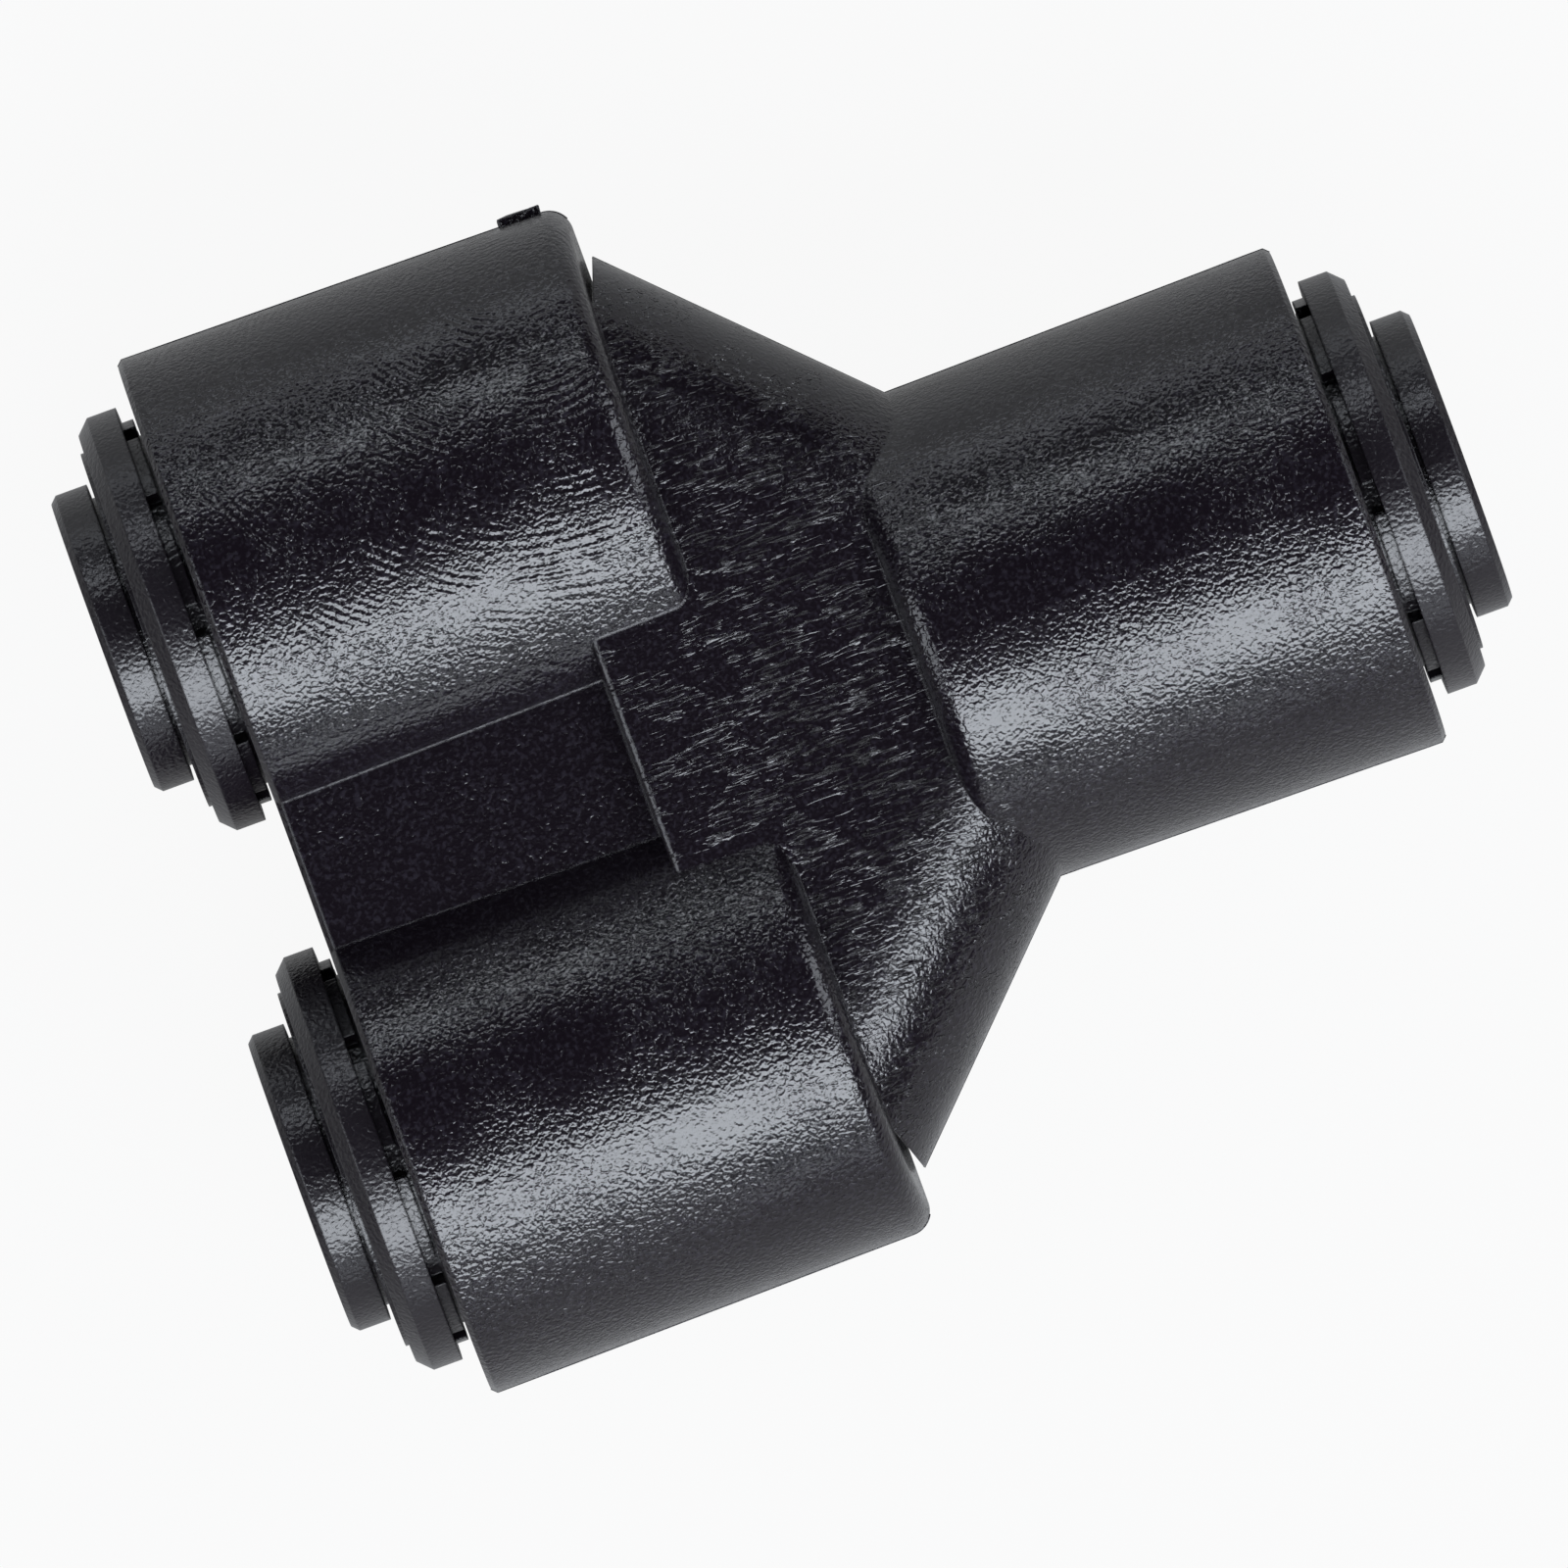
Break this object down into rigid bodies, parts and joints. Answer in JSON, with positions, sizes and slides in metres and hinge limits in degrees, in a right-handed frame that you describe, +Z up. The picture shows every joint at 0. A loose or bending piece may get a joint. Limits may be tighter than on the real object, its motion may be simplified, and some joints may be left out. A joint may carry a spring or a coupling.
{
  "type": "two-way tube divider",
  "caption": "Push-fit divider for plastic tube: an inlet socket branches into parallel outlet sockets, each with a sliding collet, seal and steel grip teeth.",
  "frame": {"origin": "centre of the part, on the axis of the inlet, halfway between the collets' outer faces and on the parting plane", "axes": "+X out of the inlet, -X out of the outlets, +Y across from outlet 2 to outlet 1, +Z up from the surface that it lies on"},
  "size_m": [0.0486, 0.0398, 0.019],
  "materials": {
    "housing_acetal": "black acetal moulding with a fine spark-eroded grain",
    "ring_acetal": "black acetal, turned-smooth moulding",
    "collet_acetal": "black acetal, smooth satin moulding",
    "seal_rubber": "black nitrile rubber",
    "tooth_steel": "bright stainless strip"
  },
  "bodies": {
    "divider": {"housing": "housing_acetal", "inlet_cam_ring": "ring_acetal", "inlet_seal": "seal_rubber", "outlet_1_cam_ring": "ring_acetal", "outlet_1_seal": "seal_rubber", "outlet_2_cam_ring": "ring_acetal", "outlet_2_seal": "seal_rubber"},
    "inlet_release": {"inlet_collet": "collet_acetal", "inlet_tooth_1": "tooth_steel", "inlet_tooth_2": "tooth_steel", "inlet_tooth_3": "tooth_steel", "inlet_tooth_4": "tooth_steel"},
    "outlet_1_release": {"outlet_1_collet": "collet_acetal", "outlet_1_tooth_1": "tooth_steel", "outlet_1_tooth_2": "tooth_steel", "outlet_1_tooth_3": "tooth_steel", "outlet_1_tooth_4": "tooth_steel"},
    "outlet_2_release": {"outlet_2_collet": "collet_acetal", "outlet_2_tooth_1": "tooth_steel", "outlet_2_tooth_2": "tooth_steel", "outlet_2_tooth_3": "tooth_steel", "outlet_2_tooth_4": "tooth_steel"}
  },
  "joints": [
    {"name": "inlet_collet_slide", "type": "slide", "parent": "divider", "child": "inlet_release", "axis": [1, 0, 0], "range_m": [-0.00016, 0.0012]},
    {"name": "outlet_1_collet_slide", "type": "slide", "parent": "divider", "child": "outlet_1_release", "axis": [-1, 0, 0], "range_m": [-0.00016, 0.0012]},
    {"name": "outlet_2_collet_slide", "type": "slide", "parent": "divider", "child": "outlet_2_release", "axis": [-1, 0, 0], "range_m": [-0.00016, 0.0012]}
  ]
}
